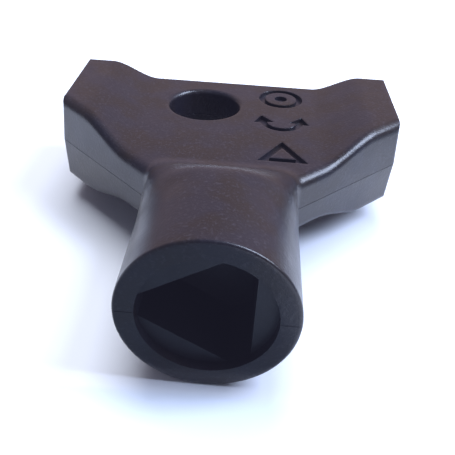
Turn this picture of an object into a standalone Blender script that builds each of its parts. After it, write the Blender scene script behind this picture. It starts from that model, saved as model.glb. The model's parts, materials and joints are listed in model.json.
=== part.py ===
"""Wing-handled triangular key: two moulded half shells that close on a socket insert.

Metres, +Z up. The key lies flat: its barrel runs along Y with the socket's mouth facing -Y,
and the wings spread along X. The origin is the centre of the bounding box, on the plane that
the key lies on, so the barrel's axis is one barrel radius above it.
"""

import math

import bmesh
import bpy
from mathutils import Matrix

MM = 0.001

# Driving dimensions
KEY_LENGTH = 43.8 * MM
BARREL_RADIUS = 8.0 * MM
HANDLE_HALF_WIDTH = 20.35 * MM
WEB_HALF_THICKNESS = 3.35 * MM
WING_HALF_THICKNESS = 5.4 * MM
FIT_GAP = 0.3 * MM

# Barrel and neck, measured from the mouth along the key
NECK_START = 8.8 * MM
NECK_END = 20.0 * MM
NECK_HALF_WIDTH = 7.8 * MM
NECK_SQUARENESS = 7.0
NECK_SLOPE = 0.575
NECK_OVERRUN = 1.15
NECK_RINGS = 12
SHOULDER = 11.9 * MM
SHOULDER_EASE = 1.0 * MM
ROUND = 2.0
RIM_CHAMFER = 0.3 * MM
AROUND_BARREL = 96

# Handle outline, measured from the mouth along the key
WING_TIP_START = 29.9 * MM
WING_ROOT_START = 17.5 * MM
NOSE_HALF_WIDTH = 4.0 * MM
MOULD_DRAFT = 0.057
WING_RISE_START = 10.4 * MM
WING_RISE_END = 16.8 * MM
RISE_STEPS = 14
FRONT_EDGE_RADIUS = 1.1 * MM
REAR_EDGE_SHARE = 0.6
END_EDGE_SHARE = 0.3
EDGE_SEGMENTS = 3

# Hole for a key ring
RING_HOLE_RADIUS = 4.4 * MM
RING_HOLE_X = -3.45 * MM
RING_HOLE_Y = 35.8 * MM
RING_HOLE_SIDES = 64

# Socket insert
MOUTH_RADIUS = 6.1 * MM
RECESS_DEPTH = 1.0 * MM
INSERT_RADIUS = 6.7 * MM
INSERT_LENGTH = 8.4 * MM
INSERT_FLOOR = 1.2 * MM
INSERT_FLANGE = 1.6 * MM
INSERT_FLAT_X = 5.6 * MM
TRIANGLE_APOTHEM = 4.0 * MM

# Locating pegs between the halves, as places beside the axis and behind the mouth
PEG_RADIUS = 1.5 * MM
PEG_HEIGHT = 2.3 * MM
PEG_SIDES = 32
PEG_SPOTS = ((16.0 * MM, 36.5 * MM), (4.3 * MM, 14.8 * MM))

# Grooves sunk into the top face: a triangle, a two-way turn arrow, and a ring round a dot
MARK_X = 6.3 * MM
MARK_DEPTH = 0.5 * MM
MARK_STROKE = 0.75 * MM
MARK_RADIUS = 2.8 * MM
TRIANGLE_MARK_Y = 23.6 * MM
ARROW_MARK_Y = 32.2 * MM
RING_MARK_Y = 39.2 * MM
TRIANGLE_MARK_RADIUS = 3.2 * MM
DOT_RADIUS = 0.8 * MM
ARROW_RADIUS = 2.2 * MM
ARROW_HALF_SWEEP = math.radians(80)
ARROW_HEAD_HALF_WIDTH = 1.2 * MM
ARROW_HEAD_LENGTH = 1.9 * MM
ARC_STEPS = 24

# Blending of facets
SHARP_ANGLE = math.radians(35)
FLAT_ANGLE = math.radians(0.2)
SQUARE_ON = 0.99
WELD = 1e-7

OVERSIZE = 5.0 * MM

MOUTH_Y = -KEY_LENGTH / 2
AXIS_Z = BARREL_RADIUS


def along(distance):
    """World Y of a point this far from the mouth."""
    return MOUTH_Y + distance


def clear_scene():
    for item in list(bpy.data.objects):
        bpy.data.objects.remove(item, do_unlink=True)


def make_collection(name):
    collection = bpy.data.collections.new(name)
    bpy.context.scene.collection.children.link(collection)
    return collection


def make_material(name, colour, roughness):
    material = bpy.data.materials.new(name)
    material.use_nodes = True
    shader = material.node_tree.nodes["Principled BSDF"]
    shader.inputs["Base Color"].default_value = (*colour, 1.0)
    shader.inputs["Roughness"].default_value = roughness
    shader.inputs["Metallic"].default_value = 0.0
    return material


def mesh_object(name, mesh, collection):
    item = bpy.data.objects.new(name, mesh)
    collection.objects.link(item)
    return item


def as_cutter(item):
    item.hide_render = True
    item.display_type = "WIRE"
    return item


def bm_object(name, bm, collection):
    mesh = bpy.data.meshes.new(name)
    bm.to_mesh(mesh)
    bm.free()
    return mesh_object(name, mesh, collection)


def evaluated_mesh(item):
    bpy.context.view_layer.update()
    depsgraph = bpy.context.evaluated_depsgraph_get()
    return bpy.data.meshes.new_from_object(item.evaluated_get(depsgraph))


def outline_solid(name, points, half_depth, matrix, collection):
    """Closed outline in its own XY plane, extruded both ways along its Z."""
    curve = bpy.data.curves.new(name, "CURVE")
    curve.dimensions = "2D"
    curve.fill_mode = "BOTH"
    curve.extrude = half_depth
    spline = curve.splines.new("POLY")
    spline.points.add(len(points) - 1)
    for target, (x, y) in zip(spline.points, points):
        target.co = (x, y, 0.0, 1.0)
    spline.use_cyclic_u = True
    source = bpy.data.objects.new(name, curve)
    collection.objects.link(source)
    mesh = evaluated_mesh(source)
    bpy.data.objects.remove(source)
    bm = bmesh.new()
    bm.from_mesh(mesh)
    bmesh.ops.remove_doubles(bm, verts=bm.verts, dist=WELD)
    bm.to_mesh(mesh)
    bm.free()
    item = mesh_object(name, mesh, collection)
    item.matrix_world = matrix
    return as_cutter(item)


def turned_solid(name, profile, collection):
    """Profile of (radius, distance behind the mouth) points, turned about the barrel's axis."""
    mesh = bpy.data.meshes.new(name)
    points = [(radius, 0.0, -distance) for radius, distance in profile]
    edges = [(i, i + 1) for i in range(len(points) - 1)]
    mesh.from_pydata(points, edges, [])
    item = mesh_object(name, mesh, collection)
    item.location = (0.0, MOUTH_Y, AXIS_Z)
    item.rotation_euler = (math.pi / 2, 0.0, 0.0)
    screw = item.modifiers.new("turn", "SCREW")
    screw.axis = "Z"
    screw.steps = AROUND_BARREL
    screw.render_steps = AROUND_BARREL
    screw.use_merge_vertices = True
    screw.merge_threshold = 1e-6
    return item


def cylinder(name, radius, depth, centre, sides, collection):
    bm = bmesh.new()
    bmesh.ops.create_cone(
        bm, cap_ends=True, segments=sides, radius1=radius, radius2=radius, depth=depth,
        matrix=Matrix.Translation(centre),
    )
    return as_cutter(bm_object(name, bm, collection))


def block(name, low, high, collection):
    centre = [(a + b) / 2 for a, b in zip(low, high)]
    size = [b - a for a, b in zip(low, high)]
    bm = bmesh.new()
    matrix = Matrix.Translation(centre) @ Matrix.Diagonal((*size, 1.0))
    bmesh.ops.create_cube(bm, size=1.0, matrix=matrix)
    return as_cutter(bm_object(name, bm, collection))


def loft(name, sections, collection):
    """Closed body through rings of points that run the same way round."""
    bm = bmesh.new()
    rings = [[bm.verts.new(point) for point in section] for section in sections]
    for near, far in zip(rings, rings[1:]):
        for i in range(len(near)):
            j = (i + 1) % len(near)
            bm.faces.new((near[i], near[j], far[j], far[i]))
    bm.faces.new(reversed(rings[0]))
    bm.faces.new(rings[-1])
    bmesh.ops.recalc_face_normals(bm, faces=bm.faces)
    return as_cutter(bm_object(name, bm, collection))


def boolean(item, operation, other):
    step = item.modifiers.new(f"{operation.lower()} {other.name}", "BOOLEAN")
    step.operation = operation
    step.object = other
    step.solver = "EXACT"


def arc(radius, start, end, steps):
    """Points on an arc about the origin, angles in radians."""
    angles = [start + (end - start) * i / steps for i in range(steps + 1)]
    return [(radius * math.cos(angle), radius * math.sin(angle)) for angle in angles]


def polygon(radius, sides, start=0.0):
    return arc(radius, start, start + 2 * math.pi, sides)[:-1]


def wing_half_thickness(x):
    """Half thickness of the handle: flat web, smooth rise, flat wing."""
    u = (abs(x) - WING_RISE_START) / (WING_RISE_END - WING_RISE_START)
    u = min(max(u, 0.0), 1.0)
    return WEB_HALF_THICKNESS + (WING_HALF_THICKNESS - WEB_HALF_THICKNESS) * u * u * (3 - 2 * u)


def handle_elevation():
    """Outline of the handle seen along the barrel, wider than the handle."""
    rise = WING_RISE_END - WING_RISE_START
    right = [WING_RISE_START + rise * i / RISE_STEPS for i in range(RISE_STEPS + 1)]
    right.append(HANDLE_HALF_WIDTH + OVERSIZE)
    across = [-x for x in reversed(right)] + right
    top = [(x, wing_half_thickness(x)) for x in across]
    return top + [(x, -z) for x, z in reversed(top)]


def handle_plan(height):
    """Outline of the handle at a height above the seam: the mould's draft draws it in."""
    inset = MOULD_DRAFT * abs(height)
    slope = (WING_TIP_START - WING_ROOT_START) / (HANDLE_HALF_WIDTH - NECK_HALF_WIDTH)
    inset_along = inset * math.hypot(1.0, slope)
    tip_x = HANDLE_HALF_WIDTH - inset

    def front(x):
        return along(WING_ROOT_START + slope * (x - NECK_HALF_WIDTH) + inset_along)

    right = [(NOSE_HALF_WIDTH, front(NOSE_HALF_WIDTH)), (tip_x, front(tip_x)), (tip_x, along(KEY_LENGTH))]
    both = right + [(-x, y) for x, y in reversed(right)]
    return [(x, y, AXIS_Z + height) for x, y in both]


def edge_share(edge):
    """How much of the front edge's rounding this edge gets."""
    middle = (edge.verts[0].co + edge.verts[1].co) / 2
    on_nose = abs(middle.x) <= NOSE_HALF_WIDTH + WELD and middle.y < along(WING_ROOT_START)
    if on_nose or edge.calc_face_angle(0.0) < SHARP_ANGLE:
        return 0.0
    normals = [face.normal for face in edge.link_faces]
    if any(abs(normal.x) > SQUARE_ON for normal in normals):
        return END_EDGE_SHARE
    if any(normal.y > SQUARE_ON for normal in normals):
        return REAR_EDGE_SHARE
    return 1.0


def make_handle(collection):
    """Handle block: the elevation swept along Y, trimmed to the plan, with rounded edges."""
    upright = Matrix.Translation((0.0, 0.0, AXIS_Z)) @ Matrix.Rotation(math.pi / 2, 4, "X")
    swept = outline_solid("handle_sweep", handle_elevation(), KEY_LENGTH, upright, collection)
    heights = (-BARREL_RADIUS, 0.0, BARREL_RADIUS)
    plan = loft("handle_trim", [handle_plan(height) for height in heights], collection)
    boolean(swept, "INTERSECT", plan)
    mesh = evaluated_mesh(swept)
    mesh.transform(upright)
    bm = bmesh.new()
    bm.from_mesh(mesh)
    bmesh.ops.dissolve_limit(bm, angle_limit=FLAT_ANGLE, verts=bm.verts, edges=bm.edges)
    bm.normal_update()
    weights = bm.edges.layers.float.new("bevel_weight_edge")
    for edge in bm.edges:
        edge[weights] = edge_share(edge)
    handle = as_cutter(bm_object("handle", bm, collection))
    rounding = handle.modifiers.new("rounded edges", "BEVEL")
    rounding.limit_method = "WEIGHT"
    rounding.width = FRONT_EDGE_RADIUS
    rounding.segments = EDGE_SEGMENTS
    rounding.use_clamp_overlap = False
    return handle


def shoulder_bend(distance):
    """Zero before the shoulder, then a soft bend into one for one."""
    past = distance - SHOULDER
    return (math.hypot(past, SHOULDER_EASE) + past) / 2


def neck_ring(u):
    """Section across the neck from 0, the round barrel, to 1, the handle's web."""
    distance = NECK_START + (NECK_END - NECK_START) * u
    half_width = BARREL_RADIUS + (NECK_HALF_WIDTH - BARREL_RADIUS) * u
    half_height = BARREL_RADIUS - NECK_SLOPE * (shoulder_bend(distance) - shoulder_bend(NECK_START))
    squareness = ROUND + (NECK_SQUARENESS - ROUND) * u * u
    return oval_ring(distance, half_width, half_height, squareness)


def oval_ring(distance, half_width, half_height, squareness):
    """Superellipse across the barrel's axis: round at 2, and squarer above it."""
    ring = []
    for i in range(AROUND_BARREL):
        angle = 2 * math.pi * i / AROUND_BARREL
        across = math.cos(angle)
        up = math.sin(angle)
        reach = (abs(across) / half_width) ** squareness + (abs(up) / half_height) ** squareness
        radius = reach ** (-1 / squareness)
        ring.append((radius * across, along(distance), AXIS_Z + radius * up))
    return ring


def make_barrel(collection):
    """Round barrel that flattens and sinks into the handle's web."""
    rim_radius = BARREL_RADIUS - RIM_CHAMFER
    sections = [
        oval_ring(0.0, rim_radius, rim_radius, ROUND),
        oval_ring(RIM_CHAMFER, BARREL_RADIUS, BARREL_RADIUS, ROUND),
    ]
    sections += [neck_ring(NECK_OVERRUN * i / NECK_RINGS) for i in range(NECK_RINGS + 1)]
    return loft("barrel", sections, collection)


def make_bore(collection):
    """Room for the insert: round mouth, wider chamber, one flat against turning."""
    chamber = INSERT_RADIUS + FIT_GAP
    lip = RECESS_DEPTH - FIT_GAP
    floor = RECESS_DEPTH + INSERT_LENGTH + FIT_GAP
    profile = [
        (0.0, -OVERSIZE), (MOUTH_RADIUS, -OVERSIZE), (MOUTH_RADIUS, lip),
        (chamber, lip), (chamber, floor), (0.0, floor),
    ]
    bore = as_cutter(turned_solid("bore", profile, collection))
    ledge = block(
        "bore_ledge",
        (INSERT_FLAT_X + FIT_GAP, along(RECESS_DEPTH + INSERT_FLANGE + FIT_GAP), 0.0),
        (BARREL_RADIUS + OVERSIZE, along(floor + OVERSIZE), 2 * AXIS_Z),
        collection,
    )
    boolean(bore, "DIFFERENCE", ledge)
    return bore


def mark_place(distance):
    return Matrix.Translation((MARK_X, along(distance), AXIS_Z + WEB_HALF_THICKNESS))


def closed_groove(name, outer, inner, distance, collection):
    """Cutter between two outlines."""
    place = mark_place(distance)
    groove = outline_solid(name, outer, MARK_DEPTH, place, collection)
    core = outline_solid(f"{name}_core", inner, 2 * MARK_DEPTH, place, collection)
    boolean(groove, "DIFFERENCE", core)
    return groove


def make_triangle_mark(collection):
    """Outline of a triangle. A triangle's sides are half its radius from its centre."""
    outer = polygon(TRIANGLE_MARK_RADIUS, 3, math.pi / 2)
    inner = polygon(TRIANGLE_MARK_RADIUS - 2 * MARK_STROKE, 3, math.pi / 2)
    return closed_groove("triangle_mark", outer, inner, TRIANGLE_MARK_Y, collection)


def arrow_head(angle, turn):
    """Barb, tip and barb of a head on the end of an arc, running on round the arc."""
    outward = (math.cos(angle), math.sin(angle))
    onward = (-turn * math.sin(angle), turn * math.cos(angle))
    offsets = ((ARROW_HEAD_HALF_WIDTH, 0.0), (0.0, ARROW_HEAD_LENGTH), (-ARROW_HEAD_HALF_WIDTH, 0.0))
    return [
        tuple((ARROW_RADIUS + out) * o + on * n for o, n in zip(outward, onward))
        for out, on in offsets
    ]


def make_arrow_mark(collection):
    """Half ring with an arrow head on each end: the key turns both ways."""
    start = -math.pi / 2 - ARROW_HALF_SWEEP
    end = -math.pi / 2 + ARROW_HALF_SWEEP
    outer = arc(ARROW_RADIUS + MARK_STROKE / 2, start, end, ARC_STEPS)
    inner = arc(ARROW_RADIUS - MARK_STROKE / 2, end, start, ARC_STEPS)
    points = outer + arrow_head(end, 1) + inner + arrow_head(start, -1)[::-1]
    return outline_solid("arrow_mark", points, MARK_DEPTH, mark_place(ARROW_MARK_Y), collection)


def make_ring_mark(collection):
    outer = polygon(MARK_RADIUS, 2 * ARC_STEPS)
    inner = polygon(MARK_RADIUS - MARK_STROKE, 2 * ARC_STEPS)
    return closed_groove("ring_mark", outer, inner, RING_MARK_Y, collection)


def make_dot_mark(collection):
    return outline_solid(
        "dot_mark", polygon(DOT_RADIUS, ARC_STEPS), MARK_DEPTH, mark_place(RING_MARK_Y), collection
    )


def peg_places():
    return [(side * x, along(distance)) for side in (-1, 1) for x, distance in PEG_SPOTS]


def make_half(name, low_z, high_z, handle, barrel, cutters, parts):
    """One half shell: handle and barrel joined, then kept between two heights."""
    half = mesh_object(name, evaluated_mesh(handle), parts)
    boolean(half, "UNION", barrel)
    reach = HANDLE_HALF_WIDTH + KEY_LENGTH
    zone = block(f"{name}_zone", (-reach, -reach, low_z), (reach, reach, high_z), cutters)
    boolean(half, "INTERSECT", zone)
    return half


def add_peg_sockets(upper, cutters):
    radius = PEG_RADIUS + FIT_GAP
    depth = PEG_HEIGHT + 2 * FIT_GAP
    for i, (x, y) in enumerate(peg_places()):
        socket = cylinder(f"peg_socket_{i}", radius, 2 * depth, (x, y, AXIS_Z), PEG_SIDES, cutters)
        boolean(upper, "DIFFERENCE", socket)


def add_pegs(lower, cutters):
    for i, (x, y) in enumerate(peg_places()):
        peg = cylinder(f"peg_{i}", PEG_RADIUS, 2 * PEG_HEIGHT, (x, y, AXIS_Z), PEG_SIDES, cutters)
        boolean(lower, "UNION", peg)


def make_insert(cutters, parts):
    """Socket insert: a blind sleeve with a round flange and a triangular pocket."""
    back = RECESS_DEPTH + INSERT_LENGTH
    profile = [(0.0, RECESS_DEPTH), (INSERT_RADIUS, RECESS_DEPTH), (INSERT_RADIUS, back), (0.0, back)]
    insert = turned_solid("socket_insert", profile, parts)
    flat = block(
        "insert_flat",
        (INSERT_FLAT_X, along(RECESS_DEPTH + INSERT_FLANGE), -OVERSIZE),
        (BARREL_RADIUS + OVERSIZE, along(back + OVERSIZE), 2 * AXIS_Z + OVERSIZE),
        cutters,
    )
    boolean(insert, "DIFFERENCE", flat)
    floor = back - INSERT_FLOOR
    bore = [(0.0, 0.0), (MOUTH_RADIUS, 0.0), (MOUTH_RADIUS, floor), (0.0, floor)]
    pocket = as_cutter(turned_solid("socket_pocket", bore, cutters))
    corners = polygon(2 * TRIANGLE_APOTHEM, 3, math.pi)
    upright = Matrix.Translation((0.0, MOUTH_Y, AXIS_Z)) @ Matrix.Rotation(math.pi / 2, 4, "X")
    prism = outline_solid("socket_triangle", corners, KEY_LENGTH, upright, cutters)
    boolean(pocket, "INTERSECT", prism)
    boolean(insert, "DIFFERENCE", pocket)
    return insert


def finish(item, material):
    item.data.materials.clear()
    item.data.materials.append(material)
    item.data.shade_smooth()
    item.data.set_sharp_from_angle(angle=SHARP_ANGLE)


def build():
    clear_scene()
    parts = make_collection("wing_key")
    cutters = make_collection("cutters")
    shell_plastic = make_material("shell_plastic", (0.030, 0.027, 0.032), 0.42)
    insert_plastic = make_material("insert_plastic", (0.018, 0.018, 0.024), 0.5)

    handle = make_handle(cutters)
    barrel = make_barrel(cutters)
    bore = make_bore(cutters)
    hole_centre = (RING_HOLE_X, along(RING_HOLE_Y), AXIS_Z)
    hole = cylinder("ring_hole", RING_HOLE_RADIUS, 4 * AXIS_Z, hole_centre, RING_HOLE_SIDES, cutters)

    seam = FIT_GAP / 2
    upper = make_half("upper_half", AXIS_Z + seam, 3 * AXIS_Z, handle, barrel, cutters, parts)
    lower = make_half("lower_half", -AXIS_Z, AXIS_Z - seam, handle, barrel, cutters, parts)
    for half in (upper, lower):
        boolean(half, "DIFFERENCE", bore)
        boolean(half, "DIFFERENCE", hole)
    add_peg_sockets(upper, cutters)
    add_pegs(lower, cutters)
    for make_mark in (make_triangle_mark, make_arrow_mark, make_ring_mark, make_dot_mark):
        boolean(upper, "DIFFERENCE", make_mark(cutters))
    insert = make_insert(cutters, parts)

    finish(upper, shell_plastic)
    finish(lower, shell_plastic)
    finish(insert, insert_plastic)


build()
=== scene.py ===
"""Looks of the wing-handled triangular key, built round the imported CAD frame.

Each visible piece is a distance field of the moulded shape, with its drafts, roundings and
fillets, turned into a mesh by dual contouring. Lengths are in metres in the frame's axes.
"""

import json
import math

import bpy
import numpy as np
from mathutils import Matrix, Vector

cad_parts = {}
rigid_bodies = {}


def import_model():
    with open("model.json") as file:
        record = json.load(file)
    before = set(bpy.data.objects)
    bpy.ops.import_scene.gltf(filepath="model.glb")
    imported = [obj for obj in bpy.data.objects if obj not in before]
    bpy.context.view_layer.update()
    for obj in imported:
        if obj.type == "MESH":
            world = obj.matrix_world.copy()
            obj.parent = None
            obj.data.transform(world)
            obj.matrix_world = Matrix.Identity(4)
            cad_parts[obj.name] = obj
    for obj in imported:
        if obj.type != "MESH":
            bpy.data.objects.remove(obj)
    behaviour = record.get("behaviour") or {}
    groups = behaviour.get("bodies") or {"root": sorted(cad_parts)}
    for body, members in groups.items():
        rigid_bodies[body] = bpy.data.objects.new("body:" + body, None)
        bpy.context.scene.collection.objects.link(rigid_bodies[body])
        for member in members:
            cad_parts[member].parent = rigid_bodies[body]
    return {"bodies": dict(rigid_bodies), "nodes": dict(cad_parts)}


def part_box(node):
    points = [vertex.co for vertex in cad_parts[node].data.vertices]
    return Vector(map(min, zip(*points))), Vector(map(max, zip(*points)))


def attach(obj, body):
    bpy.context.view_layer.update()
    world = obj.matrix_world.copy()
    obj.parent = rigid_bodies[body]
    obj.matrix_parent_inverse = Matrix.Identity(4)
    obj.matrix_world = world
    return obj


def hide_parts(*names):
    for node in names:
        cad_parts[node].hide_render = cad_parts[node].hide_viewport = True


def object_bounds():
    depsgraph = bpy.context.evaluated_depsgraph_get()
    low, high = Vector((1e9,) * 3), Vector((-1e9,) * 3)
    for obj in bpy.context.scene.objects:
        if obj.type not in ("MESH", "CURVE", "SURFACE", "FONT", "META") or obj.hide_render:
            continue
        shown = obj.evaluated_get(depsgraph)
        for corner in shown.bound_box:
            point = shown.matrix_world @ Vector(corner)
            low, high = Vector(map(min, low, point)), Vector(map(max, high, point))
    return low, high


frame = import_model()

own = {*frame["nodes"].values(), *frame["bodies"].values()}
for item in [item for item in bpy.data.objects if item not in own]:
    bpy.data.objects.remove(item)

cad_low, cad_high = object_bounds()
insert_low, insert_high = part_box("socket_insert")

MM = 0.001

# Driving sizes from the frame
KEY_LENGTH = cad_high.y - cad_low.y
HALF_WIDTH = (cad_high.x - cad_low.x) / 2
BARREL_RADIUS = (cad_high.z - cad_low.z) / 2
MOUTH_Y = cad_low.y
AXIS_Z = cad_low.z + BARREL_RADIUS
RECESS_DEPTH = insert_low.y - MOUTH_Y
INSERT_BACK = insert_high.y - MOUTH_Y
INSERT_RADIUS = (insert_high.z - insert_low.z) / 2

# Handle, measured from the barrel's axis and from the mouth
WEB_HALF_THICKNESS = 3.35 * MM
WING_HALF_THICKNESS = 5.4 * MM
WING_RISE_START = 10.4 * MM
WING_RISE_END = 16.8 * MM
WING_TIP_START = 29.9 * MM
WING_ROOT_START = 17.5 * MM
MOULD_DRAFT = 0.057
FRONT_EDGE = 1.15 * MM
REAR_EDGE = 0.65 * MM
END_EDGE = 0.3 * MM
REAR_CORNER_EDGE = 0.8 * MM  # upright edge between a wing's end and the back

# Barrel and neck
NECK_START = 8.8 * MM
NECK_END = 20.0 * MM
NECK_HALF_WIDTH = 7.8 * MM
NECK_SQUARENESS = 7.0
NECK_SLOPE = 0.575
NECK_OVERRUN = 1.15
SHOULDER = 11.9 * MM
SHOULDER_EASE = 1.0 * MM
ROUND = 2.0
ROOT_FILLET = 0.6 * MM
RIM_EDGE = 0.26 * MM
MOUTH_EDGE = 0.03 * MM

# Socket and hole
MOUTH_RADIUS = 6.1 * MM
LIP_SEAT = 0.04 * MM
CHAMBER_GAP = 0.3 * MM
INSERT_FLOOR = 1.2 * MM
INSERT_FLANGE = 1.6 * MM
INSERT_FLAT_X = 5.6 * MM
TRIANGLE_APOTHEM = 4.0 * MM
SOCKET_EDGE = 0.07 * MM
RING_HOLE_RADIUS = 4.4 * MM
RING_HOLE_X = -3.45 * MM
RING_HOLE_Y = 35.8 * MM
RING_HOLE_EDGE = 0.55 * MM

# Seam and locating pegs
SEAM = 0.05 * MM
PEG_RADIUS = 1.5 * MM
PEG_HEIGHT = 2.3 * MM
PEG_SPOTS = ((16.0 * MM, 36.5 * MM), (4.3 * MM, 14.8 * MM))

# Marks sunk into the top face
MARK_X = 6.3 * MM
MARK_DEPTH = 0.5 * MM
MARK_STROKE = 0.75 * MM
MARK_RADIUS = 2.8 * MM
MARK_EDGE = 0.12 * MM
TRIANGLE_MARK_Y = 23.6 * MM
ARROW_MARK_Y = 32.2 * MM
RING_MARK_Y = 39.2 * MM
TRIANGLE_MARK_RADIUS = 3.2 * MM
DOT_RADIUS = 0.8 * MM
ARROW_RADIUS = 2.2 * MM
ARROW_HALF_SWEEP = math.radians(80)
ARROW_HEAD_HALF_WIDTH = 1.2 * MM
ARROW_HEAD_LENGTH = 1.9 * MM

# Mesh
CELL = 0.29 * MM
FINE_CELL = 0.13 * MM
MARGIN = 0.5 * MM
FINE_AT_MARKS_X = (MARK_X - 3.2 * MM, MARK_X + 3.2 * MM)
FINE_AT_RIM_Y = (-0.3 * MM, 1.3 * MM)
FINE_AT_MARKS_Y = (21.5 * MM, 42.5 * MM)
FINE_AT_MARKS_Z = (2.7 * MM, 3.5 * MM)
CROSSING_PASSES = 4
CROSSING_GUARD = 0.05
NUDGE = 0.002 * MM
CORNER_PULL = 0.03
SHARP_ANGLE = math.radians(40)

# Grain of the plastics: noise scales, the stretches of noise that count, and depths
SPECKLE_SCALE = 3400
SPECKLE_DETAIL = 3.0
SPECKLE_ROUGHNESS = 0.6
MOTTLE_SCALE = 420
MOTTLE_DETAIL = 3.0
CLOUD_SCALE = 240
CLOUD_DETAIL = 2.0
CLOUD_STRETCH = (0.4, 0.6)
FLECK_STRETCH = (0.54, 0.72)
MOTTLE_STRETCH = (0.3, 0.7)
WAVE_STRENGTH = 0.3
GRAIN_DEPTH = 0.03 * MM

# Stage
PAPER_ROUGHNESS = 0.9
FLOOR_REACH = 300 * MM
FLOOR_COLOUR = (0.76, 0.79, 0.855)
FLAG_HEIGHT = 0.3 * MM
FLAG_REACH = 400 * MM
# Flag colour: painted shade, standing for the shaded surroundings that the key reflects.
FLAG_SHADE_COLOUR = (0.15, 0.19, 0.23)
SKY_FRONT = (0.13, 0.14, 0.18)
SKY_BACK = (0.50, 0.38, 0.41)
SKY_BACK_FROM = 0.8
PLAIN_WHITE = (1.0, 1.0, 1.0)
BLACK_LEVEL = (-0.008, -0.008, -0.015)

# Camera: place in barrel radii from the middle of the mouth, axes, and lens
CAMERA_PLACE = Vector((0.236584, -4.747060, 4.473704))
CAMERA_RIGHT = Vector((0.996146, 0.074323, 0.046582))
CAMERA_DOWN = Vector((0.080230, -0.557386, -0.826368))
CAMERA_FORWARD = Vector((-0.035454, 0.826920, -0.561200))
SENSOR_WIDTH = 36.0
LENS = 49.24
SHIFT_X = 0.0269
SHIFT_Y = -0.0176
CLIP_START = 0.001


# Distance fields: negative inside. x across the wings, y behind the mouth, z above the axis.

def round_both(a, b, radius):
    """Inside both, with the edge between them rounded."""
    corner = np.hypot(np.maximum(a + radius, 0.0), np.maximum(b + radius, 0.0))
    return np.minimum(np.maximum(a, b), -radius) + corner


def round_either(a, b, radius):
    """Inside either, with the inner corner between them filleted."""
    corner = np.hypot(np.maximum(radius - a, 0.0), np.maximum(radius - b, 0.0))
    return np.maximum(np.minimum(a, b), radius) - corner


def handle_field(x, y, z):
    """Web and wings. Each face rises from the web to the wing's tip in a smooth step."""
    x = np.abs(x)
    z = np.abs(z)
    rise = WING_RISE_END - WING_RISE_START
    step = WING_HALF_THICKNESS - WEB_HALF_THICKNESS
    u = np.clip((x - WING_RISE_START) / rise, 0.0, 1.0)
    slope = 6 * step * u * (1 - u) / rise
    face = (z - WEB_HALF_THICKNESS - step * u * u * (3 - 2 * u)) / np.hypot(1.0, slope)
    slant = (WING_TIP_START - WING_ROOT_START) / (HALF_WIDTH - NECK_HALF_WIDTH)
    front_y = WING_ROOT_START + slant * (x - NECK_HALF_WIDTH)
    front = (front_y - y) / math.hypot(1.0, slant) + MOULD_DRAFT * z
    end = x - HALF_WIDTH + MOULD_DRAFT * z
    rear = y - KEY_LENGTH
    return np.maximum.reduce([
        round_both(face, front, FRONT_EDGE),
        round_both(face, rear, REAR_EDGE),
        round_both(face, end, END_EDGE),
        round_both(front, end, END_EDGE),
        round_both(rear, end, REAR_CORNER_EDGE),
    ])


def barrel_field(x, y, z):
    """Round barrel whose section grows flat and square as it runs into the handle."""
    run = NECK_END - NECK_START
    u = np.clip((y - NECK_START) / run, 0.0, NECK_OVERRUN)
    width = BARREL_RADIUS + (NECK_HALF_WIDTH - BARREL_RADIUS) * u
    past = NECK_START + run * u - SHOULDER
    start = NECK_START - SHOULDER
    bend = (np.hypot(past, SHOULDER_EASE) + past) / 2
    straight = (math.hypot(start, SHOULDER_EASE) + start) / 2
    height = BARREL_RADIUS - NECK_SLOPE * (bend - straight)
    tilt = NECK_SLOPE * bend / np.hypot(past, SHOULDER_EASE)
    tilt = np.where((u > 0) & (u < NECK_OVERRUN), tilt, 0.0)
    squareness = ROUND + (NECK_SQUARENESS - ROUND) * u * u
    x = np.maximum(np.abs(x), 1e-9)
    z = np.maximum(np.abs(z), 1e-9)
    across = (x / width) ** squareness
    up = (z / height) ** squareness
    total = across + up
    reach = total ** (1 / squareness)
    # The field's own slope turns it into a true distance near the surface.
    steepness = np.sqrt((across / x) ** 2 + (up / z) ** 2 + (up * tilt / height) ** 2) / total
    side = (reach - 1) / (reach * steepness)
    buried_end = y - NECK_START - NECK_OVERRUN * run
    return np.maximum(round_both(side, -y, RIM_EDGE), buried_end)


def flatted_cylinder(x, y, z, radius, front, back, flat_x, flat_y):
    """Cylinder about the axis with a flat on its +X side, behind a full round flange."""
    round_body = np.maximum.reduce([np.hypot(x, z) - radius, front - y, y - back])
    return np.maximum(round_body, np.minimum(x - flat_x, y - flat_y))


def bore_field(x, y, z):
    """Room for the insert and the round mouth in front of it."""
    lip = RECESS_DEPTH - LIP_SEAT
    chamber = flatted_cylinder(
        x, y, z, INSERT_RADIUS + CHAMBER_GAP, lip, INSERT_BACK + CHAMBER_GAP,
        INSERT_FLAT_X + CHAMBER_GAP, RECESS_DEPTH + INSERT_FLANGE + CHAMBER_GAP,
    )
    mouth = np.maximum(np.hypot(x, z) - MOUTH_RADIUS, y - RECESS_DEPTH)
    return np.minimum(mouth, chamber)


def shell_field(x, y, z):
    """The whole moulded body, both halves together."""
    body = round_either(handle_field(x, y, z), barrel_field(x, y, z), ROOT_FILLET)
    hole = np.hypot(x - RING_HOLE_X, y - RING_HOLE_Y) - RING_HOLE_RADIUS
    body = round_both(body, -hole, RING_HOLE_EDGE)
    return round_both(body, -bore_field(x, y, z), MOUTH_EDGE)


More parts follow.
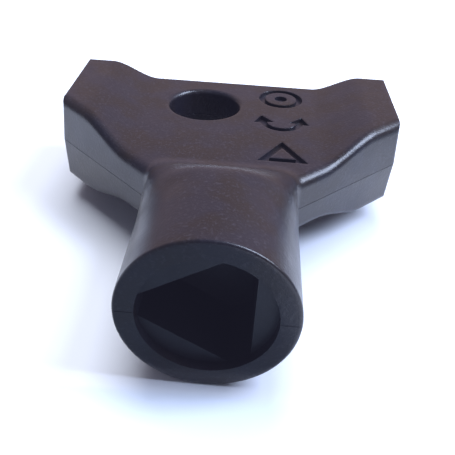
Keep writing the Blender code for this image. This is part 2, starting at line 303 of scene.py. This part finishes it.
def marks_field(x, y):
    """Triangle, two-way turn arrow, and ring round a dot."""
    x = x - MARK_X
    across = np.abs(x)

    ty = y - TRIANGLE_MARK_Y
    apothem = TRIANGLE_MARK_RADIUS / 2
    triangle = np.maximum(-ty, across * math.cos(math.pi / 6) + ty / 2) - apothem
    triangle = np.maximum(triangle, -MARK_STROKE - triangle)

    ry = y - RING_MARK_Y
    from_ring = np.hypot(x, ry)
    ring = np.abs(from_ring - MARK_RADIUS + MARK_STROKE / 2) - MARK_STROKE / 2
    dot = from_ring - DOT_RADIUS

    ay = ARROW_MARK_Y - y
    out_x, out_y = math.sin(ARROW_HALF_SWEEP), math.cos(ARROW_HALF_SWEEP)
    on_x, on_y = out_y, -out_x
    band = np.abs(np.hypot(x, ay) - ARROW_RADIUS) - MARK_STROKE / 2
    onward = across * on_x + ay * on_y
    outward = np.abs(across * out_x + ay * out_y - ARROW_RADIUS)
    barb = outward * ARROW_HEAD_LENGTH + (onward - ARROW_HEAD_LENGTH) * ARROW_HEAD_HALF_WIDTH
    barb = barb / math.hypot(ARROW_HEAD_LENGTH, ARROW_HEAD_HALF_WIDTH)
    arrow = np.minimum(np.maximum(band, onward), np.maximum(barb, -onward))

    return np.minimum.reduce([triangle, ring, dot, arrow])


def pegs_field(x, y, z, radius, height):
    """Upright columns through the seam."""
    x = np.abs(x)
    columns = [np.hypot(x - peg_x, y - peg_y) - radius for peg_x, peg_y in PEG_SPOTS]
    return np.maximum(np.minimum.reduce(columns), np.abs(z) - height)


def upper_field(x, y, z):
    """Half above the seam, with the marks and the sockets for the pegs."""
    sunk = np.maximum(marks_field(x, y), WEB_HALF_THICKNESS - MARK_DEPTH - z)
    body = round_both(shell_field(x, y, z), -sunk, MARK_EDGE)
    body = np.maximum(body, SEAM / 2 - z)
    sockets = pegs_field(x, y, z, PEG_RADIUS + CHAMBER_GAP, PEG_HEIGHT + CHAMBER_GAP)
    return np.maximum(body, -sockets)


def lower_field(x, y, z):
    """Half below the seam, with its pegs."""
    body = np.maximum(shell_field(x, y, z), z + SEAM / 2)
    return np.minimum(body, pegs_field(x, y, z, PEG_RADIUS, PEG_HEIGHT))


def insert_field(x, y, z):
    """Flanged sleeve with a blind triangular pocket, its corners cut off by the mouth."""
    body = flatted_cylinder(
        x, y, z, INSERT_RADIUS, RECESS_DEPTH, INSERT_BACK,
        INSERT_FLAT_X, RECESS_DEPTH + INSERT_FLANGE,
    )
    slanted = np.abs(z) * math.cos(math.pi / 6) - x / 2
    triangle = np.maximum(x, slanted) - TRIANGLE_APOTHEM
    corners = np.hypot(x, z) - MOUTH_RADIUS
    pocket = np.maximum.reduce([triangle, corners, y - INSERT_BACK + INSERT_FLOOR])
    return round_both(body, -pocket, SOCKET_EDGE)


# Meshing

def grid_lines(low, high, fine=()):
    """Lines a cell apart from low to past high, closer in the fine stretches."""
    lines = [low - MARGIN]
    while lines[-1] < high + MARGIN:
        here = lines[-1]
        near = any(start <= here < stop for start, stop in fine)
        lines.append(here + (FINE_CELL if near else CELL))
    return np.array(lines)


def crossings(field, near, far, near_value, far_value):
    """Where the field is zero between pairs of points, by repeated false position."""
    for _ in range(CROSSING_PASSES):
        share = near_value / (near_value - far_value)
        share = np.clip(share, CROSSING_GUARD, 1 - CROSSING_GUARD)[:, None]
        middle = near + (far - near) * share
        value = field(*middle.T)
        same = np.sign(value) == np.sign(near_value)
        near = np.where(same[:, None], middle, near)
        near_value = np.where(same, value, near_value)
        far = np.where(same[:, None], far, middle)
        far_value = np.where(same, far_value, value)
    share = (near_value / (near_value - far_value))[:, None]
    return near + (far - near) * share


def slopes(field, points):
    """Unit normals of the field at points."""
    rows = []
    for axis in range(3):
        offset = np.zeros(3)
        offset[axis] = NUDGE
        rows.append(field(*(points + offset).T) - field(*(points - offset).T))
    normals = np.stack(rows, axis=1)
    return normals / np.linalg.norm(normals, axis=1, keepdims=True)


def surface_edges(field, lines, values):
    """Grid edges that the surface crosses: the crossings, the normals there, and the four cells
    round each edge, anticlockwise seen from outside the solid."""
    inside = values < 0
    points, normals, edge_cells = [], [], []
    for axis in range(3):
        low = [slice(None)] * 3
        high = [slice(None)] * 3
        low[axis] = slice(0, -1)
        high[axis] = slice(1, None)
        corner = np.argwhere(inside[tuple(low)] != inside[tuple(high)])
        onward = corner.copy()
        onward[:, axis] += 1
        near = np.stack([lines[a][corner[:, a]] for a in range(3)], axis=1)
        far = np.stack([lines[a][onward[:, a]] for a in range(3)], axis=1)
        found = crossings(field, near, far, values[tuple(corner.T)], values[tuple(onward.T)])
        points.append(found)
        normals.append(slopes(field, found))
        first, second = (axis + 1) % 3, (axis + 2) % 3
        cells = np.repeat(corner[:, None, :], 4, axis=1)
        cells[:, (0, 3), first] -= 1
        cells[:, (0, 1), second] -= 1
        outward = inside[tuple(corner.T)]
        cells[~outward] = cells[~outward][:, ::-1]
        edge_cells.append(np.ravel_multi_index(np.moveaxis(cells, 2, 0), values.shape))
    return np.concatenate(points), np.concatenate(normals), np.concatenate(edge_cells)


def meeting_points(points, normals, faces, cell_count):
    """For each cell, the point nearest to the tangent planes at the crossings round it."""

    def gather(amounts):
        """Sum of each edge's amount over the cells round it."""
        return np.bincount(faces.ravel(), np.repeat(amounts, 4), cell_count)

    count = gather(np.ones(len(points)))
    centre = np.stack([gather(points[:, a]) for a in range(3)], axis=1) / count[:, None]
    pull = np.sum(normals * points, axis=1)
    matrix = np.empty((cell_count, 3, 3))
    right = np.empty((cell_count, 3))
    for a in range(3):
        right[:, a] = gather(normals[:, a] * pull)
        for b in range(3):
            matrix[:, a, b] = gather(normals[:, a] * normals[:, b])
    right -= np.einsum("nab,nb->na", matrix, centre)
    matrix += CORNER_PULL * count[:, None, None] * np.eye(3)
    return centre + np.linalg.solve(matrix, right[:, :, None])[:, :, 0]


def quad_object(name, vertices, faces):
    mesh = bpy.data.meshes.new(name)
    mesh.vertices.add(len(vertices))
    mesh.vertices.foreach_set("co", vertices.ravel())
    mesh.loops.add(faces.size)
    mesh.loops.foreach_set("vertex_index", faces.ravel())
    mesh.polygons.add(len(faces))
    mesh.polygons.foreach_set("loop_start", np.arange(0, faces.size, 4))
    mesh.update(calc_edges=True)
    mesh.validate()
    mesh.shade_smooth()
    mesh.set_sharp_from_angle(angle=SHARP_ANGLE)
    piece = bpy.data.objects.new(name, mesh)
    bpy.context.scene.collection.objects.link(piece)
    return piece


def dual_contour(name, field, lines):
    """Closed mesh of a field's zero surface: one vertex a cell, where the cell's tangent planes
    meet, and one face for each grid edge that the surface crosses."""
    shape = [len(line) for line in lines]
    values = np.empty(shape)
    for i, x in enumerate(lines[0]):
        y, z = np.meshgrid(lines[1], lines[2], indexing="ij")
        values[i] = field(np.full_like(y, x), y, z)
    points, normals, edge_cells = surface_edges(field, lines, values)
    cell_ids, faces = np.unique(edge_cells, return_inverse=True)
    faces = faces.reshape(-1, 4)
    vertices = meeting_points(points, normals, faces, len(cell_ids))

    # A vertex stays in its own cell, and inside the frame's box.
    cell = np.stack(np.unravel_index(cell_ids, shape), axis=1)
    floor = np.stack([lines[a][cell[:, a]] for a in range(3)], axis=1)
    ceiling = np.stack([lines[a][cell[:, a] + 1] for a in range(3)], axis=1)
    vertices = np.clip(vertices, floor, ceiling) + (0.0, MOUTH_Y, AXIS_Z)
    vertices = np.clip(vertices, cad_low, cad_high)
    return quad_object(name, vertices, faces)


def shell_lines(low_z, high_z, fine_z=()):
    """Grid for a half shell, finer round the marks and at the rim."""
    return [
        grid_lines(-HALF_WIDTH, HALF_WIDTH, [FINE_AT_MARKS_X]),
        grid_lines(0.0, KEY_LENGTH, [FINE_AT_RIM_Y, FINE_AT_MARKS_Y]),
        grid_lines(low_z, high_z, fine_z),
    ]


upper = dual_contour(
    "key_upper_half", upper_field, shell_lines(0.0, BARREL_RADIUS, [FINE_AT_MARKS_Z])
)
lower = dual_contour("key_lower_half", lower_field, shell_lines(-BARREL_RADIUS, PEG_HEIGHT))
insert = dual_contour(
    "key_socket_insert", insert_field,
    [
        grid_lines(-INSERT_RADIUS, INSERT_RADIUS),
        grid_lines(RECESS_DEPTH, INSERT_BACK),
        grid_lines(-INSERT_RADIUS, INSERT_RADIUS),
    ],
)


# Materials

def colour_mix(tree, share, first, second):
    """Mix of two colours, each a tuple or a node's output."""
    node = tree.nodes.new("ShaderNodeMix")
    node.data_type = "RGBA"
    tree.links.new(share, node.inputs["Factor"])
    for key, colour in (("A", first), ("B", second)):
        socket = next(s for s in node.inputs if s.name == key and s.type == "RGBA")
        if isinstance(colour, tuple):
            socket.default_value = (*colour, 1.0)
        else:
            tree.links.new(colour, socket)
    return next(s for s in node.outputs if s.type == "RGBA")


class Nodes:
    """A material's node tree, built a node at a time."""

    def __init__(self, name):
        self.material = bpy.data.materials.new(name)
        self.material.use_nodes = True
        self.tree = self.material.node_tree
        self.shader = self.tree.nodes["Principled BSDF"]
        self.place = self.add("ShaderNodeTexCoord").outputs["Object"]

    def add(self, kind):
        return self.tree.nodes.new(kind)

    def link(self, output, target):
        self.tree.links.new(output, target)

    def noise(self, scale, detail, roughness=0.5):
        node = self.add("ShaderNodeTexNoise")
        node.inputs["Scale"].default_value = scale
        node.inputs["Detail"].default_value = detail
        node.inputs["Roughness"].default_value = roughness
        self.link(self.place, node.inputs["Vector"])
        return node.outputs["Fac"]

    def ramp(self, source, stretch, to_low=0.0, to_high=1.0):
        node = self.add("ShaderNodeMapRange")
        values = (*stretch, to_low, to_high)
        for key, value in zip(("From Min", "From Max", "To Min", "To Max"), values):
            node.inputs[key].default_value = value
        self.link(source, node.inputs["Value"])
        return node.outputs["Result"]

    def mix(self, share, first, second):
        return colour_mix(self.tree, share, first, second)

    def bump(self, source, strength, distance, below=None):
        node = self.add("ShaderNodeBump")
        node.inputs["Strength"].default_value = strength
        node.inputs["Distance"].default_value = distance
        self.link(source, node.inputs["Height"])
        if below is not None:
            self.link(below, node.inputs["Normal"])
        return node.outputs["Normal"]


def moulded_plastic(name, dark, light, fleck_colour, rough_low, rough_high, grain):
    """Charcoal plastic: two tones in faint clouds, paler flecks, and a fine moulded grain."""
    nodes = Nodes(name)
    speckle = nodes.noise(SPECKLE_SCALE, SPECKLE_DETAIL, SPECKLE_ROUGHNESS)
    mottle = nodes.noise(MOTTLE_SCALE, MOTTLE_DETAIL)
    cloud = nodes.noise(CLOUD_SCALE, CLOUD_DETAIL)
    patch = nodes.mix(nodes.ramp(cloud, CLOUD_STRETCH), dark, light)
    colour = nodes.mix(nodes.ramp(speckle, FLECK_STRETCH), patch, fleck_colour)
    nodes.link(colour, nodes.shader.inputs["Base Color"])
    roughness = nodes.ramp(mottle, MOTTLE_STRETCH, rough_low, rough_high)
    nodes.link(roughness, nodes.shader.inputs["Roughness"])
    waves = nodes.bump(mottle, WAVE_STRENGTH, GRAIN_DEPTH)
    nodes.link(nodes.bump(speckle, grain, GRAIN_DEPTH, waves), nodes.shader.inputs["Normal"])
    return nodes.material


def paper(name, colour):
    material = bpy.data.materials.new(name)
    material.use_nodes = True
    shader = material.node_tree.nodes["Principled BSDF"]
    shader.inputs["Base Color"].default_value = (*colour, 1.0)
    shader.inputs["Roughness"].default_value = PAPER_ROUGHNESS
    return material


def dress(piece, material):
    piece.data.materials.clear()
    piece.data.materials.append(material)


shell_look = moulded_plastic(
    "shell_plastic",
    dark=(0.0115, 0.0078, 0.0072),
    light=(0.011, 0.0095, 0.0145),
    fleck_colour=(0.026, 0.023, 0.030),
    rough_low=0.28,
    rough_high=0.37,
    grain=0.8,
)
insert_look = moulded_plastic(
    "insert_plastic",
    dark=(0.010, 0.010, 0.013),
    light=(0.014, 0.014, 0.018),
    fleck_colour=(0.020, 0.020, 0.026),
    rough_low=0.42,
    rough_high=0.52,
    grain=0.3,
)
for piece, node, look, slot in (
    (upper, "upper_half", shell_look, "shell_plastic"),
    (lower, "lower_half", shell_look, "shell_plastic"),
    (insert, "socket_insert", insert_look, "insert_plastic"),
):
    dress(piece, look)
    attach(piece, "root")
    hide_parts(node)


# Stage

def make_sheet(name, left, right, front, back, height, colour):
    """Flat sheet of paper at a height above the plane that the key lies on."""
    mesh = bpy.data.meshes.new(name)
    corners = [(left, front), (right, front), (right, back), (left, back)]
    points = [(x, y, cad_low.z + height) for x, y in corners]
    mesh.from_pydata(points, [], [(0, 1, 2, 3)])
    sheet = bpy.data.objects.new(name, mesh)
    bpy.context.scene.collection.objects.link(sheet)
    dress(sheet, paper(name + "_paper", colour))
    return sheet


def make_flag(name, left, right, front, back):
    """Grey card just over the floor, painted shade: its dark colour stands for shaded
    surroundings in the key's reflections. The camera doesn't see it and it casts no shadow, but
    what the key reflects is darker there. Front and back are measured from the mouth."""
    flag = make_sheet(
        name, left, right, MOUTH_Y + front, MOUTH_Y + back, FLAG_HEIGHT, FLAG_SHADE_COLOUR
    )
    flag.visible_camera = False
    flag.visible_shadow = False


def soft_light(name, azimuth, elevation, distance, size, power, colour, glossy=True):
    """Softbox that looks at the key. Azimuth 0 is at the back (+Y), 90 at +X. Without glossy it
    only lights, and isn't reflected."""
    lamp = bpy.data.lights.new(name, "AREA")
    lamp.shape = "RECTANGLE"
    lamp.size, lamp.size_y = size
    lamp.energy = power
    lamp.color = colour
    turn, rise = math.radians(azimuth), math.radians(elevation)
    direction = Vector((
        math.sin(turn) * math.cos(rise), math.cos(turn) * math.cos(rise), math.sin(rise)
    ))
    item = bpy.data.objects.new(name, lamp)
    item.location = Vector((0.0, 0.0, AXIS_Z)) + direction * distance
    item.rotation_euler = direction.to_track_quat("Z", "Y").to_euler()
    item.visible_camera = False
    item.visible_glossy = glossy
    bpy.context.scene.collection.objects.link(item)


def make_sky():
    """Dim in front of the key and paler behind it; plain white where the camera sees it."""
    world = bpy.data.worlds.new("studio")
    world.use_nodes = True
    tree = world.node_tree
    direction = tree.nodes.new("ShaderNodeTexCoord").outputs["Generated"]
    split = tree.nodes.new("ShaderNodeSeparateXYZ")
    tree.links.new(direction, split.inputs[0])
    fade = tree.nodes.new("ShaderNodeMapRange")
    fade.interpolation_type = "SMOOTHSTEP"
    fade.inputs["From Min"].default_value = 0.0
    fade.inputs["From Max"].default_value = SKY_BACK_FROM
    tree.links.new(split.outputs["Y"], fade.inputs["Value"])
    sky = colour_mix(tree, fade.outputs["Result"], SKY_FRONT, SKY_BACK)
    path = tree.nodes.new("ShaderNodeLightPath")
    seen = colour_mix(tree, path.outputs["Is Camera Ray"], sky, PLAIN_WHITE)
    tree.links.new(seen, tree.nodes["Background"].inputs["Color"])
    bpy.context.scene.world = world


def make_camera():
    """Camera at the photograph's height and turn, with the picture's small roll."""
    camera = bpy.data.cameras.new("camera")
    camera.sensor_width = SENSOR_WIDTH
    camera.lens = LENS
    camera.shift_x = SHIFT_X
    camera.shift_y = SHIFT_Y
    camera.clip_start = CLIP_START
    item = bpy.data.objects.new("camera", camera)
    rows = [(CAMERA_RIGHT[i], -CAMERA_DOWN[i], -CAMERA_FORWARD[i]) for i in range(3)]
    place = Vector((0.0, MOUTH_Y, AXIS_Z)) + CAMERA_PLACE * BARREL_RADIUS
    item.matrix_world = Matrix.Translation(place) @ Matrix(rows).to_4x4()
    bpy.context.scene.collection.objects.link(item)
    bpy.context.scene.camera = item


def set_exposure():
    """Plain response with the faint bluish veil that a white surround throws over blacks."""
    view = bpy.context.scene.view_settings
    view.view_transform = "Standard"
    view.use_curve_mapping = True
    view.curve_mapping.black_level = BLACK_LEVEL
    view.curve_mapping.update()


make_sheet("floor", -FLOOR_REACH, FLOOR_REACH, -FLOOR_REACH, FLOOR_REACH, 0.0, FLOOR_COLOUR)
make_flag("front_flag", left=-60 * MM, right=9 * MM, front=-FLAG_REACH, back=-1.3 * MM)
make_flag("right_flag", left=51 * MM, right=FLAG_REACH, front=-FLAG_REACH, back=FLAG_REACH)
make_flag("left_flag", left=-FLAG_REACH, right=-52 * MM, front=52 * MM, back=FLAG_REACH)
make_camera()
make_sky()
soft_light(
    "overhead", azimuth=-15, elevation=70, distance=0.5, size=(0.4, 0.4), power=3.6,
    colour=(0.88, 0.92, 1.0), glossy=False,
)
soft_light(
    "right", azimuth=86, elevation=47, distance=0.35, size=(0.14, 0.24), power=2.15,
    colour=(0.66, 0.76, 1.0),
)
set_exposure()
